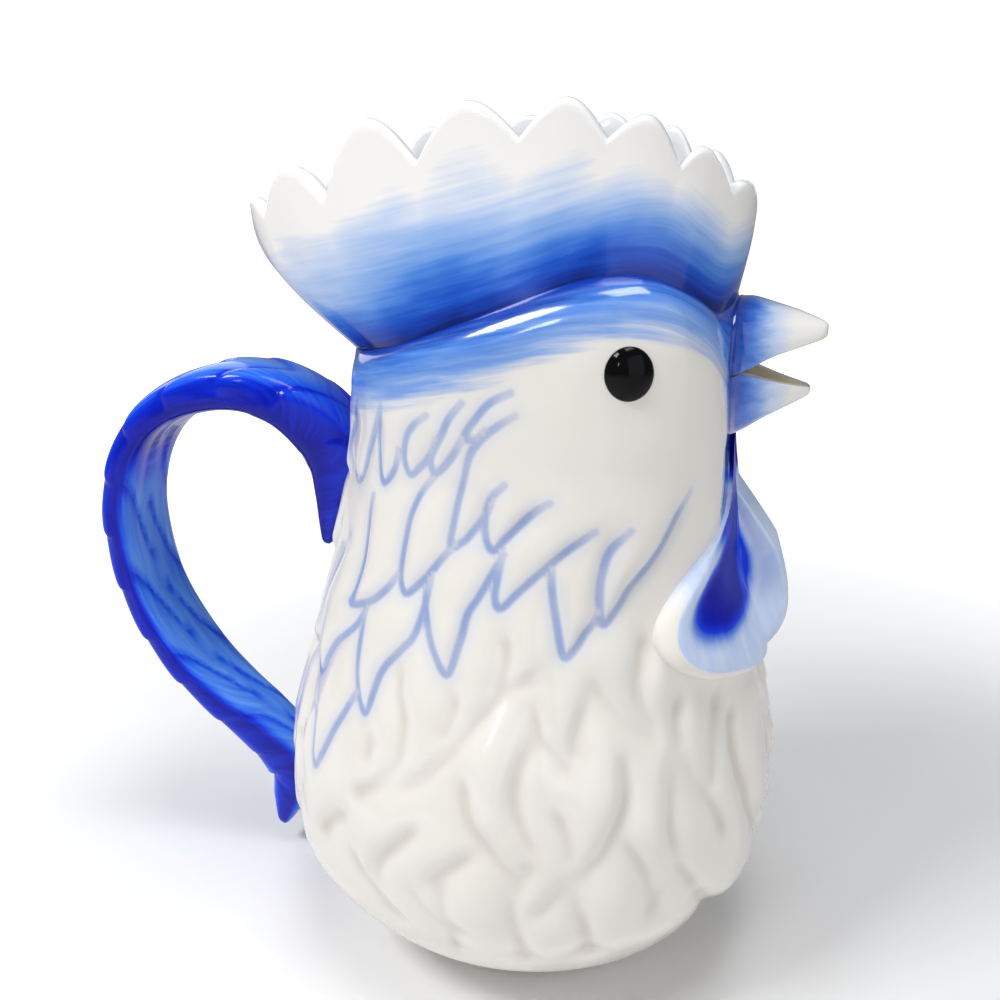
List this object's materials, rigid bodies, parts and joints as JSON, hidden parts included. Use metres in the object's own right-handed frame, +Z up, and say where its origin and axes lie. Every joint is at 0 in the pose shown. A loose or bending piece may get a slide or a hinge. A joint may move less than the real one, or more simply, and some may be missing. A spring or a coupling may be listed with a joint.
{
  "type": "pitcher",
  "caption": "Glazed ceramic pitcher shaped as a hen, with feathered body, scalloped crown at the mouth, open beak as pouring lip and a curled tail handle.",
  "frame": {"origin": "centre of the round foot's underside, on the table", "axes": "+Z up, +X forward out of the beak, -X towards the handle, -Y the bird's right side"},
  "size_m": [0.2055, 0.1412, 0.228],
  "materials": {
    "white_glaze": "glossy transparent glaze over white earthenware",
    "crown_glaze": "glossy glaze brushed from cobalt to white",
    "beak_glaze": "glossy glaze, light blue fading to white",
    "cobalt_glaze": "glossy cobalt glaze",
    "eye_glaze": "glossy black glaze",
    "bare_clay": "unglazed fired clay, wiped foot"
  },
  "bodies": {
    "root": {"body_shell": "white_glaze", "crown": "crown_glaze", "upper_beak": "beak_glaze", "lower_beak": "beak_glaze", "wattle_right": "cobalt_glaze", "wattle_left": "cobalt_glaze", "eye_right": "eye_glaze", "eye_left": "eye_glaze", "handle": "cobalt_glaze", "foot": "bare_clay"}
  },
  "joints": []
}
